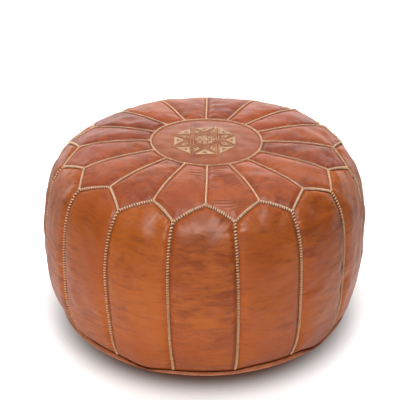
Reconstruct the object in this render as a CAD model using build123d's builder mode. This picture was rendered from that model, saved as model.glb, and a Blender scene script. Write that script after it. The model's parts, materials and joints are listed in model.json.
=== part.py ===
from build123d import *
import os
from math import cos, pi, radians, sin, tan

# Moroccan leather pouf, in millimetres, +Z up, origin on the floor under the middle of the base.
#
# Sixteen petals and sixteen side panels of thin leather are sewn into a drum. A round medallion
# closes the top. Two half discs with a turned-up lip close the bottom, and a brass zip between
# them lets the stuffing in. A cotton liner holds the stuffing away from the leather.

# --- Driving dimensions ---------------------------------------------------------------------

widest_radius = 275
total_height = 300
panel_count = 16
leather = 2.0  # thickness of the panels
base_leather = 2.2  # thickness of the base
seam_gap = 0.6  # between the cut edges of two panels

# outside of the cover, from the base seam up to the middle of the top
base_seam_radius = 253.5
base_seam_height = 12
lower_side = (269.5, 61)
belly_height = 131
upper_side = (267.5, 215)
shoulder = (245, 266)
crown_edge = (178, 291.5)
crown_slope = (77, 297)
base_seam_direction = (0.5, 1)

# seam pattern of the top
medallion_radius = 93
peak_radius = 211.5  # where a radial seam ends on the tip of a side panel
valley_radius = 239  # where a petal's tip ends on a side seam

# sewing thread
cord_radius = 1.5
cord_clearance = 0.25
cord_end_gap = 3.5  # left free round each point where seams meet
hidden_thread_radius = 0.6

# embroidered rosette in the middle of the medallion: eight bands in an octagon
rosette_apothem = 51
rosette_line = 1.8  # width of one worked line
rosette_band = 6.4  # across the two lines of a band
rosette_spike = 3  # how far the bands' ends stand out past the octagon
rosette_heart = 10
thread_rise = 0.9
thread_clearance = 0.2

# base
floor_radius = 243
lip_roll_radius = 9.2
lip_sweep = 103  # degrees from flat on the floor to just past upright
channel_half_length = 170
channel_half_width = 12
flange_height = 11.5

# zip, which lies in the channel with its mid plane above the floor
zip_plane = 9
tape_thickness = 0.8
tape_clearance = 0.1
tooth_pitch = 3.2
tooth_count = 100
tooth_length = 1.7
tooth_depth = 2.6
tooth_inner = 0.6  # half of the lane that the slider's post runs in
tooth_outer = 2.9
stop_length = 4
stop_place = 165.5

# slider at the closed end of the zip, and its pull
slider_home = 156
slider_length = 13
slider_width = 10.4
plate_thickness = 1.4
plate_offset = 3.3  # from the zip's mid plane to the middle of each plate
post_size = (2.4, 0.8)
side_wall = 1.0
wall_gap = 1.6  # slot in the slider's side that the tape passes through
bridge_length = 9
bridge_width = 2
bridge_drop = 3.0
bridge_bar = 0.9
pull_pin_radius = 0.65
pull_hinge_height = 3.95
pull_arm_length = 7
pull_arm_inner = 1.5
pull_width = 7
pull_length = 25
pull_thickness = 1.2
pull_hole_radius = 1.6

# liner and stuffing
liner_depth = 9
liner_thickness = 0.8
liner_bottom = 2.8
stuffing_clearance = 0.4
groove_clearance = 1.2
groove_top = 15

panel_angle = 360 / panel_count
half_panel = panel_angle / 2
profile_steps = 18
reach = widest_radius + 40  # safely outside the cover

os.makedirs("parts", exist_ok=True)


# --- Shape of the cover ---------------------------------------------------------------------

with BuildLine(Plane.XZ) as outside:
    Spline(
        (base_seam_radius, base_seam_height),
        lower_side,
        (widest_radius, belly_height),
        upper_side,
        shoulder,
        crown_edge,
        crown_slope,
        (0, total_height),
        tangents=(base_seam_direction, (-1, 0)),
    )
outside_edge = outside.edge()


def cover_point(share, depth=0, angle=0):
    """Point a share of the way up the cover's profile, sunk by depth and turned about Z."""
    place = outside_edge.position_at(share)
    along = outside_edge.tangent_at(share)
    inward = Vector(-along.Z, 0, along.X)
    return (place + inward * depth).rotate(Axis.Z, angle)


def share_at_radius(radius):
    """Share of the profile at which the top of the cover has this radius."""
    low, high = 0.5, 1.0
    for _ in range(30):
        middle = (low + high) / 2
        if outside_edge.position_at(middle).X > radius:
            low = middle
        else:
            high = middle
    return low


def plan_point(radius, angle):
    """Point in plan at this radius and angle."""
    return (radius * cos(radians(angle)), radius * sin(radians(angle)))


def stuffed_form(depth, bottom):
    """Solid of revolution that lies depth below the outside of the cover, down to bottom."""
    points = [cover_point(step / profile_steps, depth) for step in range(profile_steps + 1)]
    with BuildPart() as form:
        with BuildSketch(Plane.XZ):
            with BuildLine():
                side = Spline(*[(point.X, point.Z) for point in points])
                foot = side @ 0
                Polyline(side @ 1, (0, bottom), (foot.X - (foot.Y - bottom), bottom), foot)
            make_face()
        revolve(axis=Axis.Z)
    return form.part


def cover_skin(outer_depth, inner_depth):
    """Closed skin between two depths of the cover, above the base seam."""
    with BuildPart() as skin:
        add(stuffed_form(outer_depth, base_seam_height - 1))
        add(stuffed_form(inner_depth, base_seam_height - 4), mode=Mode.SUBTRACT)
    return skin.part


leather_skin = cover_skin(0, leather)


# --- Leather of the top and the sides -------------------------------------------------------

with BuildPart() as medallion_disc:
    with BuildSketch(Plane.XY.offset(base_seam_height)):
        Circle(medallion_radius - seam_gap / 2)
    extrude(amount=total_height)
    add(leather_skin, mode=Mode.INTERSECT)
medallion_disc.part.label = "medallion_disc"
export_step(medallion_disc.part, "parts/medallion_disc.step")

with BuildPart() as petal_blank:
    with BuildSketch(Plane.XY.offset(base_seam_height)):
        with BuildLine():
            Polyline(
                (0, 0),
                plan_point(peak_radius, -half_panel),
                plan_point(valley_radius, 0),
                plan_point(peak_radius, half_panel),
                close=True,
            )
        make_face()
        offset(amount=-seam_gap / 2, kind=Kind.INTERSECTION)
        Circle(medallion_radius + seam_gap / 2, mode=Mode.SUBTRACT)
    extrude(amount=total_height)
    add(leather_skin, mode=Mode.INTERSECT)

with BuildPart() as side_blank:
    with BuildSketch(Plane.XY.offset(base_seam_height)):
        with BuildLine():
            Polyline(
                plan_point(reach, -half_panel),
                plan_point(valley_radius, -half_panel),
                plan_point(peak_radius, 0),
                plan_point(valley_radius, half_panel),
                plan_point(reach, half_panel),
                close=True,
            )
        make_face()
        offset(amount=-seam_gap / 2, kind=Kind.INTERSECTION)
    extrude(amount=total_height)
    add(leather_skin, mode=Mode.INTERSECT)

# a radial seam faces the front, so side panel 1 is centred on it and petal 1 lies to its right
front_angle = -90
for index in range(panel_count):
    side_angle = front_angle + index * panel_angle
    petal_angle = side_angle + half_panel
    with BuildPart() as side_panel:
        add(side_blank.part, rotation=(0, 0, side_angle))
    side_panel.part.label = f"side_panel_{index + 1:02d}"
    export_step(side_panel.part, f"parts/side_panel_{index + 1:02d}.step")
    with BuildPart() as top_petal:
        add(petal_blank.part, rotation=(0, 0, petal_angle))
    top_petal.part.label = f"top_petal_{index + 1:02d}"
    export_step(top_petal.part, f"parts/top_petal_{index + 1:02d}.step")


# --- Stitching: bundles of thread that lie on the seams --------------------------------------

cord_depth = -(cord_radius + cord_clearance)
medallion_share = share_at_radius(medallion_radius)
peak_share = share_at_radius(peak_radius)
valley_share = share_at_radius(valley_radius)


def cord_along(points):
    """Round cord swept through the points."""
    with BuildPart() as cord:
        with BuildLine() as path:
            Spline(*points)
        with BuildSketch(Plane(origin=path.line @ 0, z_dir=path.line % 0)):
            Circle(cord_radius)
        sweep()
    return cord.part


def seam_cord(start_share, end_share, start_angle=0, end_angle=0, steps=6):
    """Cord on the cover from one profile share and angle to another, short of both ends."""
    start = cover_point(start_share, cord_depth, start_angle)
    end = cover_point(end_share, cord_depth, end_angle)
    trim = cord_end_gap / (end - start).length
    points = []
    for step in range(steps + 1):
        way = trim + (1 - 2 * trim) * step / steps
        share = start_share + (end_share - start_share) * way
        angle = start_angle + (end_angle - start_angle) * way
        points.append(cover_point(share, cord_depth, angle))
    return cord_along(points)


ring_centre = cover_point(medallion_share, cord_depth)
with BuildPart() as medallion_seam_stitching:
    with BuildSketch(Plane.XZ):
        with Locations((ring_centre.X, ring_centre.Z)):
            Circle(cord_radius)
    revolve(axis=Axis.Z)

radial_cord = seam_cord(medallion_share, peak_share)
with BuildPart() as petal_seam_stitching:
    with PolarLocations(0, panel_count):
        add(radial_cord)
petal_seam_stitching.part.locate(Rotation(0, 0, front_angle))

rising_leg = seam_cord(valley_share, peak_share, -half_panel, 0)
falling_leg = seam_cord(peak_share, valley_share, 0, half_panel)
with BuildPart() as zigzag_seam_stitching:
    with PolarLocations(0, panel_count):
        add(rising_leg)
        add(falling_leg)
zigzag_seam_stitching.part.locate(Rotation(0, 0, front_angle))

side_cord = seam_cord(0, valley_share, steps=18)
with BuildPart() as side_seam_stitching:
    with PolarLocations(0, panel_count):
        add(side_cord)
side_seam_stitching.part.locate(Rotation(0, 0, front_angle + half_panel))

with BuildPart() as base_seam_thread:
    with BuildSketch(Plane.XZ):
        thread_radius_at_base = base_seam_radius - leather - 2.2
        with Locations((thread_radius_at_base, base_seam_height + hidden_thread_radius + 0.2)):
            Circle(hidden_thread_radius)
    revolve(axis=Axis.Z)

for name, piece in {
    "medallion_seam_stitching": medallion_seam_stitching,
    "petal_seam_stitching": petal_seam_stitching,
    "zigzag_seam_stitching": zigzag_seam_stitching,
    "side_seam_stitching": side_seam_stitching,
    "base_seam_thread": base_seam_thread,
}.items():
    piece.part.label = name
    export_step(piece.part, f"parts/{name}.step")


# --- Embroidery: eight interlaced bands, which join each corner of an octagon to its third next --

band_offset = rosette_apothem * tan(pi / 8)
line_place = (rosette_band - rosette_line) / 2
line_length = 2 * (rosette_apothem + rosette_spike)
line_offsets = [
    side * band_offset + edge * line_place for side in (-1, 1) for edge in (-1, 1)
]
with BuildPart() as medallion_embroidery:
    with BuildSketch(Plane.XY.offset(base_seam_height)):
        for turn in (0, 45, 90, 135):
            for line_offset in line_offsets:
                with Locations(Location((0, 0, 0), (0, 0, turn)) * Location((line_offset, 0, 0))):
                    Rectangle(rosette_line, line_length)
        with Locations(Location((0, 0, 0), (0, 0, 22.5))):
            RegularPolygon(rosette_heart, 8)
    extrude(amount=total_height)
    add(cover_skin(-thread_clearance - thread_rise, -thread_clearance), mode=Mode.INTERSECT)
medallion_embroidery.part.label = "medallion_embroidery"
export_step(medallion_embroidery.part, "parts/medallion_embroidery.step")


# --- Base: two half discs with a turned-up lip and a channel for the zip ----------------------

roll_centre = (floor_radius, lip_roll_radius)
with BuildPart() as base_front:
    with BuildSketch(Plane.XZ):
        with BuildLine():
            outer_roll = CenterArc(roll_centre, lip_roll_radius, -90, lip_sweep)
            inner_roll = CenterArc(roll_centre, lip_roll_radius - base_leather, -90, lip_sweep)
            Line(outer_roll @ 1, inner_roll @ 1)
            Polyline(inner_roll @ 0, (0, base_leather), (0, 0), outer_roll @ 0)
        make_face()
    revolve(axis=Axis.Z)
    with BuildSketch():
        Rectangle(
            2 * (channel_half_length + base_leather), 2 * (channel_half_width + base_leather)
        )
    extrude(amount=flange_height)
    with BuildSketch():
        Rectangle(2 * channel_half_length, 2 * channel_half_width)
    extrude(amount=flange_height, mode=Mode.SUBTRACT)
    split(bisect_by=Plane.XZ.offset(seam_gap / 2), keep=Keep.TOP)
base_front.part.label = "base_front"
export_step(base_front.part, "parts/base_front.step")

with BuildPart() as base_rear:
    add(base_front.part, rotation=(0, 0, 180))
base_rear.part.label = "base_rear"
export_step(base_rear.part, "parts/base_rear.step")


# --- Zip -------------------------------------------------------------------------------------

tape_inner = tooth_outer + tape_clearance
tape_width = channel_half_width - tape_clearance - tape_inner
with BuildPart() as zip_tape_front:
    with BuildSketch(Plane.XY.offset(zip_plane - tape_thickness / 2)):
        with Locations((0, -tape_inner - tape_width / 2)):
            Rectangle(2 * (channel_half_length - tape_clearance), tape_width)
    extrude(amount=tape_thickness)

with BuildPart() as zip_teeth_front:
    with BuildSketch(Plane.XY.offset(zip_plane - tooth_depth / 2)):
        # a quarter pitch each way puts the two rows half a pitch apart
        with Locations((tooth_pitch / 4, -(tooth_inner + tooth_outer) / 2)):
            with GridLocations(tooth_pitch, 0, tooth_count, 1):
                Rectangle(tooth_length, tooth_outer - tooth_inner)
    extrude(amount=tooth_depth)

with BuildPart() as zip_tape_rear:
    add(zip_tape_front.part, rotation=(0, 0, 180))

with BuildPart() as zip_teeth_rear:
    add(zip_teeth_front.part, rotation=(0, 0, 180))

with BuildPart() as zip_end_stops:
    with BuildSketch(Plane.XY.offset(zip_plane - tooth_depth / 2)):
        with Locations((stop_place, 0)):
            with GridLocations(0, tooth_inner + tooth_outer, 1, 2):
                Rectangle(stop_length, tooth_outer - tooth_inner)
        with Locations((-stop_place, 0)):
            Rectangle(stop_length, 2 * tooth_outer)
    extrude(amount=tooth_depth)

with BuildPart() as zip_stitching:
    row_y = channel_half_width - tape_clearance - 2 * hidden_thread_radius
    row_z = zip_plane - tape_thickness / 2 - hidden_thread_radius - tape_clearance
    with BuildSketch(Plane.YZ.offset(-channel_half_length + 1)):
        with Locations((-row_y, row_z), (row_y, row_z)):
            Circle(hidden_thread_radius)
    extrude(amount=2 * (channel_half_length - 1))

for name, piece in {
    "zip_tape_front": zip_tape_front,
    "zip_tape_rear": zip_tape_rear,
    "zip_teeth_front": zip_teeth_front,
    "zip_teeth_rear": zip_teeth_rear,
    "zip_end_stops": zip_end_stops,
    "zip_stitching": zip_stitching,
}.items():
    piece.part.label = name
    export_step(piece.part, f"parts/{name}.step")


# --- Slider and pull --------------------------------------------------------------------------

lower_plate_bottom = zip_plane - plate_offset - plate_thickness / 2
upper_plate_bottom = zip_plane + plate_offset - plate_thickness / 2
with BuildPart() as zip_slider:
    with BuildSketch(Plane.XY.offset(lower_plate_bottom)) as plate:
        with Locations((slider_home, 0)):
            RectangleRounded(slider_length, slider_width, 2)
    extrude(amount=plate_thickness)
    with BuildSketch(Plane.XY.offset(upper_plate_bottom)):
        with Locations((slider_home, 0)):
            RectangleRounded(slider_length, slider_width, 2)
    extrude(amount=plate_thickness)
    with BuildSketch(Plane.XY.offset(lower_plate_bottom + plate_thickness / 2)):
        with Locations((slider_home + slider_length / 2 - post_size[0], 0)):
            Rectangle(*post_size)
    extrude(amount=2 * plate_offset)
    with BuildSketch(Plane.XY.offset(lower_plate_bottom + plate_thickness / 2)):
        with Locations((slider_home, 0)):
            with GridLocations(0, slider_width - side_wall, 1, 2):
                Rectangle(slider_length - 4, side_wall)
    extrude(amount=2 * plate_offset)
    with BuildSketch(Plane.XY.offset(zip_plane - wall_gap / 2)):
        with Locations((slider_home, 0)):
            with GridLocations(0, slider_width - side_wall, 1, 2):
                Rectangle(slider_length, side_wall * 1.2)
    extrude(amount=wall_gap, mode=Mode.SUBTRACT)
    # bridge below the lower plate, which holds the pull's pin
    with BuildSketch(Plane.XZ.offset(-bridge_width / 2)):
        with Locations((slider_home, lower_plate_bottom - bridge_drop / 2)):
            Rectangle(bridge_length, bridge_drop)
        with Locations((slider_home, lower_plate_bottom - (bridge_drop - bridge_bar) / 2)):
            Rectangle(
                bridge_length - 2 * bridge_bar, bridge_drop - bridge_bar, mode=Mode.SUBTRACT
            )
    extrude(amount=bridge_width)
    bridge_edges = zip_slider.edges().filter_by(Axis.Y).group_by(Axis.Z)[0]
    fillet(bridge_edges, bridge_bar * 0.8)
zip_slider.part.label = "zip_slider"
export_step(zip_slider.part, "parts/zip_slider.step")

pull_end = slider_home - pull_length
arm_end = slider_home - pull_arm_length
with BuildPart() as zip_pull:
    with BuildSketch(Plane.XY.offset(pull_hinge_height - pull_thickness / 2)):
        with Locations(((slider_home + pull_end) / 2, 0)):
            RectangleRounded(pull_length, pull_width, 2)
        with Locations(((slider_home + arm_end) / 2 + 1, 0)):
            Rectangle(pull_arm_length + 2, 2 * pull_arm_inner, mode=Mode.SUBTRACT)
        with Locations((pull_end + pull_width / 2, 0)):
            Circle(pull_hole_radius, mode=Mode.SUBTRACT)
    extrude(amount=pull_thickness)
    with BuildSketch(Plane.XZ.offset(-pull_width / 2 + 0.6)):
        with Locations((slider_home - pull_pin_radius, pull_hinge_height)):
            Circle(pull_pin_radius)
    extrude(amount=pull_width - 1.2)
zip_pull.part.label = "zip_pull"
export_step(zip_pull.part, "parts/zip_pull.step")


# --- Inside: cotton liner and stuffing, grooved over the zip ----------------------------------


def grooved_form(depth, bottom, clearance):
    """Stuffed form with a groove in its underside that clears the zip channel."""
    half_length = channel_half_length + base_leather + clearance
    half_width = channel_half_width + base_leather + clearance
    with BuildPart() as form:
        add(stuffed_form(depth, bottom))
        with BuildSketch():
            Rectangle(2 * half_length, 2 * half_width)
        extrude(amount=groove_top + clearance, mode=Mode.SUBTRACT)
    return form.part


inner_wall = liner_thickness
with BuildPart() as inner_liner:
    add(grooved_form(liner_depth, liner_bottom, groove_clearance))
    add(
        grooved_form(
            liner_depth + inner_wall, liner_bottom + inner_wall, groove_clearance + inner_wall
        ),
        mode=Mode.SUBTRACT,
    )
inner_liner.part.label = "inner_liner"
export_step(inner_liner.part, "parts/inner_liner.step")

with BuildPart() as stuffing:
    core_inset = inner_wall + stuffing_clearance
    add(
        grooved_form(
            liner_depth + core_inset, liner_bottom + core_inset, groove_clearance + core_inset
        )
    )
stuffing.part.label = "stuffing"
export_step(stuffing.part, "parts/stuffing.step")
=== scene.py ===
import json
from math import cos, pi, radians, sin, tan

import bpy
import numpy as np
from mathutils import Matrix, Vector
from mathutils.bvhtree import BVHTree

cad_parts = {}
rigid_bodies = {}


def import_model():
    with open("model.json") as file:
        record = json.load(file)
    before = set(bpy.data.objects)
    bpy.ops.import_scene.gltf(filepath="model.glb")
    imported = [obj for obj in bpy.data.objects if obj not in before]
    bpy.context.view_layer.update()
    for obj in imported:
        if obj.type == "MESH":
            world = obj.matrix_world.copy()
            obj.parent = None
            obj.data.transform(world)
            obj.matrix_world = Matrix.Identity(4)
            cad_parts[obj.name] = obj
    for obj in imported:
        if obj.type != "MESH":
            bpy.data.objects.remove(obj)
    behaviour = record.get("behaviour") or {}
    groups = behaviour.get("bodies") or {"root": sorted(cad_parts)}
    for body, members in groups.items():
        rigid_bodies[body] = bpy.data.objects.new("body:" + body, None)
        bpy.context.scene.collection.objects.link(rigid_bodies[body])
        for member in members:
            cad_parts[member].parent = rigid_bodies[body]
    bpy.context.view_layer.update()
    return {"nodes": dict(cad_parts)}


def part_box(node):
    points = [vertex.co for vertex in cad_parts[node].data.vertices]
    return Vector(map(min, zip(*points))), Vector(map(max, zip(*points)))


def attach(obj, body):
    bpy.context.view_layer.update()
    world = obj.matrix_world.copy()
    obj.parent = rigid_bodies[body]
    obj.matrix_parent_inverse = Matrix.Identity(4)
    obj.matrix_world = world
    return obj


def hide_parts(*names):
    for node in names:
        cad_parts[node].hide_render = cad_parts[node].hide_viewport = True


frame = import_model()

# Moroccan leather pouf. Metres, +Z up, origin on the floor under the middle of the base.
# The cover is built panel by panel on one surface of revolution. Cloth simulation puffs each
# panel between its pinned seams, then the seams, puckers and creases are laid over the result.

MM = 0.001
PANELS = 16
PANEL_ANGLE = 2 * pi / PANELS
HALF = PANEL_ANGLE / 2
FRONT = -pi / 2  # a radial seam faces the front
BODY = "pouf"
SEED = 16

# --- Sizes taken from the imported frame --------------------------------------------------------

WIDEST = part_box("side_panel_05")[1].x  # the fifth side panel is centred on +X
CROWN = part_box("medallion_disc")[1].z
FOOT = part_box("side_panel_01")[0].z
RING_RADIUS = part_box("medallion_disc")[1].x
PEAK_RADIUS = -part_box("side_panel_01")[1].y
VALLEY_RADIUS = -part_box("top_petal_01")[0].y / cos(HALF)
LIP_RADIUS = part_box("base_front")[1].x
ZIP_LOW, ZIP_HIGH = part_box("zip_tape_rear")
FLANGE_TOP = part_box("base_front")[1].z
ROSETTE_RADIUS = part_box("medallion_embroidery")[1].x

# outside of the cover as shares of the widest radius and the crown's height
PROFILE = (
    (0.922, 0.040),
    (0.982, 0.203),
    (1.000, 0.437),
    (0.973, 0.717),
    (0.891, 0.887),
    (0.647, 0.972),
    (0.280, 0.990),
    (0.000, 1.000),
)
FOOT_DIRECTION = (0.45, 0.89)
CROWN_DIRECTION = (-1.0, 0.0)

# leather and seams
LEATHER = 1.8 * MM
SEAM_SINK = 3.4 * MM  # how far the seams lie below the CAD surface
EDGE_GAP = 0.3 * MM
PUFF = {"side": 5.0 * MM, "petal": 3.6 * MM, "medallion": 1.2 * MM}
SEAM_REACH = 10 * MM  # the panels rise to their full puff this far from a seam
VALLEY_AT = 2.6 * MM  # distance from the seam to the bottom of the furrow beside it
VALLEY_WIDTH = 1.7 * MM
VALLEY_DEPTH = {"side": 1.8 * MM, "petal": 0.7 * MM, "medallion": 0.6 * MM}
PUCKER_DEPTH = 0.55 * MM
PULL_DEPTH = {"side": 0.5 * MM, "petal": 0.32 * MM, "medallion": 0.12 * MM}
PULL_REACH = 11 * MM

# whip stitches of each kind of seam: pitch, half width and thread radius
STITCHES = {
    "side": (4.6 * MM, 1.50 * MM, 1.00 * MM),
    "zigzag": (3.6 * MM, 1.05 * MM, 1.00 * MM),
    "petal": (2.9 * MM, 0.75 * MM, 0.92 * MM),
    "ring": (3.2 * MM, 0.80 * MM, 0.92 * MM),
}
STITCH_SLANT = 0.5 * MM
STITCH_DROP = 1.1 * MM
STITCH_RISE = 2.3 * MM

# foot of the cover and base
FOOT_SINK = 0.6 * MM
FOOT_REACH = 4 * MM
BASE_LEATHER = 2.2 * MM
LIP_ROLL = 6.2 * MM
LIP_SWEEP = radians(150)
LIP_OVERLAP = 0.9 * MM
FOLD_RADIUS = 2.4 * MM
FOOT_SAG = 3.0 * MM  # how far the sides slump at the crease, and how much that varies
FOOT_SAG_CHANGE = 1.6 * MM
LINER_DEPTH = 9.6 * MM
LINER_THICKNESS = 0.8 * MM
STUFFING_DEPTH = 11.4 * MM


# --- Small maths helpers ----------------------------------------------------------------------


def smooth_curve(points, start_slope, end_slope, count):
    """Clamped cubic spline through the points, sampled at count places evenly along it."""
    points = np.array(points, float)
    gaps = np.linalg.norm(np.diff(points, axis=0), axis=1)
    size = len(points)
    matrix = np.zeros((size, size))
    right = np.zeros((size, 2))
    matrix[0, 0] = matrix[-1, -1] = 1
    right[0], right[-1] = start_slope, end_slope
    for i in range(1, size - 1):
        before, after = gaps[i - 1], gaps[i]
        matrix[i, i - 1 : i + 2] = after, 2 * (before + after), before
        rise_before = (points[i] - points[i - 1]) / before
        rise_after = (points[i + 1] - points[i]) / after
        right[i] = 3 * (after * rise_before + before * rise_after)
    slopes = np.linalg.solve(matrix, right)
    parts = []
    for i in range(size - 1):
        t = np.linspace(0, 1, 200, endpoint=i == size - 2)[:, None]
        h00, h10 = 2 * t**3 - 3 * t**2 + 1, t**3 - 2 * t**2 + t
        h01, h11 = -2 * t**3 + 3 * t**2, t**3 - t**2
        step = gaps[i]
        bend = step * (h10 * slopes[i] + h11 * slopes[i + 1])
        parts.append(h00 * points[i] + h01 * points[i + 1] + bend)
    line = np.vstack(parts)
    length = np.r_[0, np.cumsum(np.linalg.norm(np.diff(line, axis=0), axis=1))]
    even = np.linspace(0, length[-1], count)
    return np.column_stack([np.interp(even, length, line[:, axis]) for axis in (0, 1)]), length[-1]


def unit(vectors):
    """Vectors of length one in the same directions."""
    return vectors / np.maximum(np.linalg.norm(vectors, axis=-1, keepdims=True), 1e-12)


def smoothstep(low, high, values):
    """Rises smoothly from 0 at the low value to 1 at the high one."""
    share = np.clip((values - low) / (high - low), 0, 1)
    return share * share * (3 - 2 * share)


def around(radius, angle, height):
    """Points at these radii, angles and heights round the vertical axis."""
    x, y = radius * np.cos(angle), radius * np.sin(angle)
    return np.stack(np.broadcast_arrays(x, y, height), axis=-1)


def bulge(angle, middle, spread):
    """One at the middle azimuth, falling off smoothly on both sides of it."""
    apart = np.abs((angle - middle + pi) % (2 * pi) - pi)
    return np.exp(-((apart / spread) ** 2))


class Waves:
    """Smooth seeded noise made of sine waves, about -1 to 1, over points of any dimension."""

    def __init__(self, seed, dimensions, shortest, longest, count=18):
        random = np.random.default_rng(seed)
        direction = unit(random.normal(size=(count, dimensions)))
        length = np.exp(random.uniform(np.log(shortest), np.log(longest), count))
        self.vectors = direction * (2 * pi / length)[:, None]
        self.phases = random.uniform(0, 2 * pi, count)
        self.scale = 1.6 / np.sqrt(count)

    def __call__(self, points):
        """Value of the noise at each point."""
        points = np.asarray(points, float)
        total = np.zeros(points.shape[:-1])
        for vector, phase in zip(self.vectors, self.phases):
            total += np.sin(points @ vector + phase)
        return total * self.scale


def cubic_weights(targets, count):
    """Matrix that reads count evenly spaced values over 0..1 at the targets, Catmull-Rom."""
    place = np.clip(targets, 0, 1) * (count - 1)
    cell = np.minimum(place.astype(int), count - 2)
    t = place - cell
    weights = (
        -0.5 * t**3 + t**2 - 0.5 * t,
        1.5 * t**3 - 2.5 * t**2 + 1,
        -1.5 * t**3 + 2 * t**2 + 0.5 * t,
        0.5 * t**3 - 0.5 * t**2,
    )
    matrix = np.zeros((len(targets), count))
    for offset, weight in zip((-1, 0, 1, 2), weights):
        column = np.clip(cell + offset, 0, count - 1)
        np.add.at(matrix, (np.arange(len(targets)), column), weight)
    return matrix


# --- The cover's surface ----------------------------------------------------------------------

SAMPLES = 1201
_profile = [(radius * WIDEST, height * CROWN) for radius, height in PROFILE]
_profile[0] = (_profile[0][0], FOOT)
PROFILE_LINE, PROFILE_LENGTH = smooth_curve(_profile, FOOT_DIRECTION, CROWN_DIRECTION, SAMPLES)
PROFILE_SHARE = np.linspace(0, 1, SAMPLES)
_along = unit(np.gradient(PROFILE_LINE, axis=0))
PROFILE_NORMAL = np.column_stack([_along[:, 1], -_along[:, 0]])
_widest_at = int(np.argmax(PROFILE_LINE[:, 0]))


def share_at_radius(radius):
    """Share of the way up the profile at which the top of the cover has this radius."""
    return np.interp(-np.asarray(radius), -PROFILE_LINE[_widest_at:, 0], PROFILE_SHARE[_widest_at:])


def surface(share, angle, lift=0.0):
    """Points on the cover, and its outward normals, lifted along them."""
    radius, height = (np.interp(share, PROFILE_SHARE, PROFILE_LINE[:, axis]) for axis in (0, 1))
    out, up = (np.interp(share, PROFILE_SHARE, PROFILE_NORMAL[:, axis]) for axis in (0, 1))
    return around(radius + out * lift, angle, height + up * lift), around(out, angle, up)


RING_SHARE = float(share_at_radius(RING_RADIUS))


def zigzag_share(offset):
    """Profile share of the zigzag seam, straight in plan, at an angle from the nearest peak."""
    offset = np.abs(offset)
    line = PEAK_RADIUS * np.sin(offset) + VALLEY_RADIUS * np.sin(HALF - offset)
    return share_at_radius(PEAK_RADIUS * VALLEY_RADIUS * sin(HALF) / line)


# how the stuffing has settled: azimuth, spread and shift of each swollen part of the shoulder
LOBES = (
    (radians(-90), radians(46), (1.0 * MM, 5.0 * MM, 4.5 * MM)),
    (radians(42), radians(40), (5.0 * MM, 2.0 * MM, 5.0 * MM)),
    (radians(100), radians(40), (2.0 * MM, 1.5 * MM, 3.0 * MM)),
)
CROWN_SHIFT = np.array((2.2, 2.0, 0.0)) * MM
# where the sides hang over the base's lip: azimuth, spread and depth
SLUMPS = ((radians(-114), radians(8), 7.0 * MM), (radians(-43), radians(5), 5.5 * MM))
HAND_WOBBLE = [Waves(SEED + axis, 3, 0.16, 0.5, 10) for axis in range(3)]
HAND_WOBBLE_SIZE = np.array((1.3, 1.3, 0.78)) * MM
FOOT_WAVE = Waves(SEED + 7, 2, 0.25, 1.2, 12)


def handmade(points):
    """Moves points by the slow unevenness of a hand-sewn, hand-stuffed cover."""
    angle = np.arctan2(points[..., 1], points[..., 0])
    radius = np.hypot(points[..., 0], points[..., 1])
    height = points[..., 2]
    wobble = np.stack([waves(points) for waves in HAND_WOBBLE], axis=-1) * HAND_WOBBLE_SIZE
    moved = points + wobble * smoothstep(4 * MM, 60 * MM, height)[..., None]
    high = smoothstep(0.86 * CROWN, 0.945 * CROWN, height)
    moved += high[..., None] * CROWN_SHIFT
    shoulder = high * smoothstep(0.30 * WIDEST, 0.66 * WIDEST, radius)
    for middle, spread, swell in LOBES:
        moved += (shoulder * bulge(angle, middle, spread))[..., None] * swell
    sag = FOOT_SAG + FOOT_SAG_CHANGE * np.clip(FOOT_WAVE(around(1, angle, 0)[..., :2]), -1, 1)
    for middle, spread, depth in SLUMPS:
        sag = sag + depth * bulge(angle, middle, spread)
    low = np.clip(height / FOOT, 0, 1) * (1 - smoothstep(1.3 * FOOT, 7 * FOOT, height))
    moved[..., 2] -= sag * low * smoothstep(0.70 * WIDEST, 0.86 * WIDEST, radius)
    return moved


# --- Meshes -----------------------------------------------------------------------------------


def enclosed(vertices, faces):
    """Volume inside a closed mesh, negative where its faces are turned inside out."""
    total = 0.0
    for block in faces:
        first = vertices[block[:, 0]]
        for i in range(1, block.shape[1] - 1):
            cross = np.cross(vertices[block[:, i]], vertices[block[:, i + 1]])
            total += np.sum(first * cross) / 6
    return total


def new_object(name, vertices, faces, material, closed=True, **attributes):
    """Smooth object made of blocks of faces, with attributes that hold a value per vertex."""
    mesh = bpy.data.meshes.new(name)
    vertices = np.asarray(vertices, np.float64).reshape(-1, 3)
    if closed and enclosed(vertices - vertices.mean(axis=0), faces) < 0:
        faces = [block[:, ::-1] for block in faces]
    vertices = vertices.astype(np.float32)
    mesh.vertices.add(len(vertices))
    mesh.vertices.foreach_set("co", vertices.ravel())
    sizes = np.concatenate([np.full(len(block), block.shape[1]) for block in faces])
    loops = np.concatenate([block.ravel() for block in faces]).astype(np.int32)
    mesh.loops.add(len(loops))
    mesh.loops.foreach_set("vertex_index", loops)
    mesh.polygons.add(len(sizes))
    starts = np.r_[0, np.cumsum(sizes)[:-1]].astype(np.int32)
    mesh.polygons.foreach_set("loop_start", starts)
    mesh.polygons.foreach_set("use_smooth", np.full(len(sizes), True))
    mesh.update(calc_edges=True)
    mesh.validate()
    for key, values in attributes.items():
        layer = mesh.attributes.new(key, "FLOAT", "POINT")
        layer.data.foreach_set("value", np.asarray(values, np.float32).ravel())
    if material is not None:
        mesh.materials.append(material)
    piece = bpy.data.objects.new(name, mesh)
    bpy.context.scene.collection.objects.link(piece)
    return piece


def add_piece(name, node, vertices, faces, finish, slot_name=None, **attributes):
    """Adds a closed piece that shows in place of a CAD node and rides on the pouf's body."""
    piece = new_object(name, vertices, faces, MATERIALS[finish], **attributes)
    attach(piece, BODY)
    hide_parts(node)


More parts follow.
